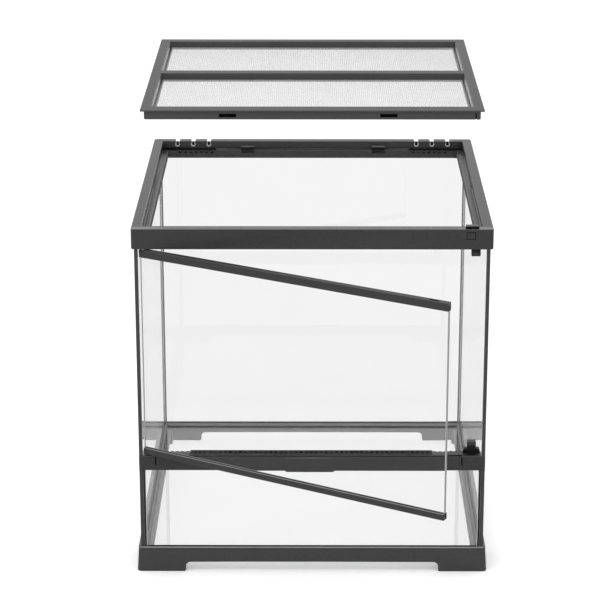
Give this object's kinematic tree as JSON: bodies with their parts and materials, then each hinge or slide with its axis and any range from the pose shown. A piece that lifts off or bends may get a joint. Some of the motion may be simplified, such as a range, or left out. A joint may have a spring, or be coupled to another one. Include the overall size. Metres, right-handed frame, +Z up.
{
  "type": "terrarium",
  "caption": "Cube glass terrarium with a dark plastic base and top frame, a side-hinged glass front door over a vent bar, and a lift-off mesh lid.",
  "frame": {"origin": "middle of the bounding box on the table, with the door ajar and the lid raised", "axes": "+X to the right across the front, +Y to the rear, +Z up"},
  "size_m": [0.4608, 0.6672, 0.6199],
  "materials": {
    "frame_plastic": "fine matt moulded plastic, dark grey",
    "black_plastic": "satin black plastic",
    "clear_glass": "clear float glass, polished edges",
    "silicone": "smooth dark silicone",
    "edge_trim": "dark strip on the pane edge",
    "grommet": "soft light grey ring",
    "pin_steel": "turned steel",
    "lid_mesh": "fine bright wire mesh"
  },
  "bodies": {
    "tank": {"base_frame": "frame_plastic", "top_frame": "frame_plastic", "vent_bar": "frame_plastic", "vent_grille": "black_plastic", "door_stop_lower": "black_plastic", "door_stop_upper": "black_plastic", "lid_clip_rear_left": "black_plastic", "lid_clip_rear_right": "black_plastic", "lid_clip_front_left": "black_plastic", "lid_clip_front_right": "black_plastic", "floor_glass": "clear_glass", "back_glass": "clear_glass", "left_glass": "clear_glass", "right_glass": "clear_glass", "front_low_glass": "clear_glass", "seam_front_left": "silicone", "seam_front_right": "silicone", "seam_rear_left": "silicone", "seam_rear_right": "silicone", "seam_floor": "silicone", "edge_trim_lower_left": "edge_trim", "edge_trim_lower_right": "edge_trim", "edge_trim_upper_left": "edge_trim", "edge_trim_upper_right": "edge_trim", "grommet_left_1": "grommet", "grommet_left_2": "grommet", "grommet_left_3": "grommet", "grommet_right_1": "grommet", "grommet_right_2": "grommet", "grommet_right_3": "grommet", "hinge_pin_lower": "pin_steel", "hinge_pin_upper": "pin_steel", "door_stop_lower_screw_left": "pin_steel", "door_stop_lower_screw_right": "pin_steel", "door_stop_upper_screw_left": "pin_steel", "door_stop_upper_screw_right": "pin_steel"},
    "door": {"door_glass": "clear_glass", "door_top_rail": "frame_plastic", "door_bottom_rail": "frame_plastic"},
    "lid": {"lid_frame": "frame_plastic", "lid_mesh_front": "lid_mesh", "lid_mesh_rear": "lid_mesh"},
    "lock": {"door_lock": "black_plastic"},
    "gate_left": {"wire_gate_left": "frame_plastic"},
    "gate_right": {"wire_gate_right": "frame_plastic"}
  },
  "joints": [
    {"name": "door_hinge", "type": "hinge", "parent": "tank", "child": "door", "pos_m": [-0.21345, -0.11757, 0.303], "axis": [0, 0, -1], "range_deg": [-29.5, 75.5]},
    {"name": "lid_lift", "type": "slide", "parent": "tank", "child": "lid", "axis": [0, 0, 1], "range_m": [-0.147, 0.1]},
    {"name": "lock_slide", "type": "slide", "parent": "tank", "child": "lock", "axis": [0, 0, 1], "range_m": [-0.0034, 0]},
    {"name": "gate_left_slide", "type": "slide", "parent": "tank", "child": "gate_left", "axis": [-1, 0, 0], "range_m": [0, 0.01125]},
    {"name": "gate_right_slide", "type": "slide", "parent": "tank", "child": "gate_right", "axis": [1, 0, 0], "range_m": [0, 0.01125]}
  ]
}
